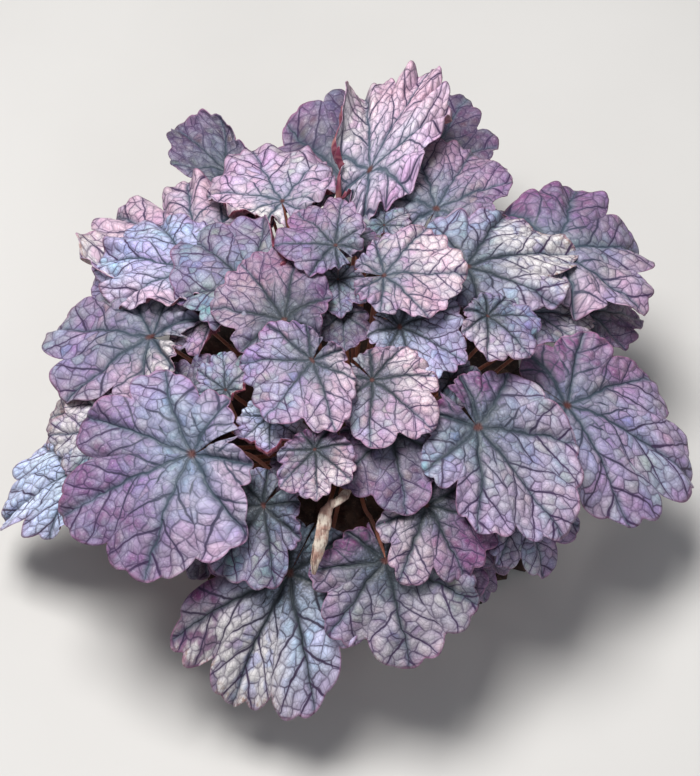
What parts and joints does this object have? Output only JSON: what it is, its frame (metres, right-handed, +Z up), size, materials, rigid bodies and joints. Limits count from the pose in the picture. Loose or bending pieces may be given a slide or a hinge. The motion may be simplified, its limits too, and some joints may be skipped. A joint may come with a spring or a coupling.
{
  "type": "heuchera plant",
  "caption": "Low mound of lobed, ruffled, dark-veined lilac and pink leaves on long stalks from a short woody crown, lifted from the ground and resting on its flat cut.",
  "frame": {"origin": "centre of the flat cut under the crown", "axes": "+Z up along the crown's axis, -Y towards the side the plant is seen from, +X to that viewer's right"},
  "size_m": [0.4415, 0.4284, 0.2363],
  "materials": {
    "crown_bark": "rough bark with leaf scars",
    "leaf_mauve": "satin leaf, mauve panels between dark teal veins, wine-red underside",
    "leaf_pink": "satin leaf, pink-white panels between dark veins",
    "leaf_lilac": "satin leaf, blue-lilac panels between dark teal veins",
    "leaf_teal": "satin leaf, grey-teal panels with a pale sheen",
    "leaf_magenta": "satin leaf, magenta-pink panels between dark veins",
    "leaf_shade": "satin leaf, dark purple-grey old or shaded blade",
    "leaf_old": "dull brown-red old leaf",
    "dead_leaves": "dry, crumpled, dark brown, matt",
    "withered": "dry, crumpled, matt"
  },
  "bodies": {
    "root": {"crown": "crown_bark", "leaf_01": "leaf_mauve", "leaf_02": "leaf_lilac", "leaf_03": "leaf_pink", "leaf_04": "leaf_teal", "leaf_05": "leaf_mauve", "leaf_06": "leaf_mauve", "leaf_07": "leaf_pink", "leaf_08": "leaf_lilac", "leaf_09": "leaf_pink", "leaf_10": "leaf_teal", "leaf_11": "leaf_mauve", "leaf_12": "leaf_pink", "leaf_13": "leaf_pink", "leaf_14": "leaf_shade", "leaf_15": "leaf_shade", "leaf_16": "leaf_mauve", "leaf_17": "leaf_shade", "leaf_18": "leaf_teal", "leaf_19": "leaf_mauve", "leaf_20": "leaf_lilac", "leaf_21": "leaf_shade", "leaf_22": "leaf_shade", "leaf_23": "leaf_mauve", "leaf_24": "leaf_lilac", "leaf_25": "leaf_magenta", "leaf_26": "leaf_pink", "leaf_27": "leaf_teal", "leaf_28": "leaf_teal", "leaf_29": "leaf_lilac", "leaf_30": "leaf_teal", "leaf_31": "leaf_teal", "leaf_32": "leaf_old", "leaf_33": "leaf_teal", "leaf_34": "leaf_teal", "leaf_35": "leaf_lilac", "leaf_36": "leaf_magenta", "leaf_37": "leaf_shade", "leaf_38": "leaf_shade", "leaf_39": "leaf_shade", "leaf_40": "leaf_shade", "leaf_41": "leaf_pink", "leaf_42": "leaf_teal", "leaf_43": "leaf_shade", "leaf_44": "leaf_teal", "leaf_45": "leaf_shade", "leaf_46": "leaf_shade", "leaf_47": "leaf_shade", "leaf_48": "leaf_shade", "leaf_49": "leaf_shade", "leaf_50": "leaf_shade", "leaf_51": "leaf_shade", "leaf_52": "leaf_shade", "leaf_53": "leaf_shade", "leaf_54": "leaf_shade", "leaf_55": "leaf_shade", "leaf_56": "leaf_shade", "withered_leaf": "withered", "dead_leaves": "dead_leaves"}
  },
  "joints": []
}
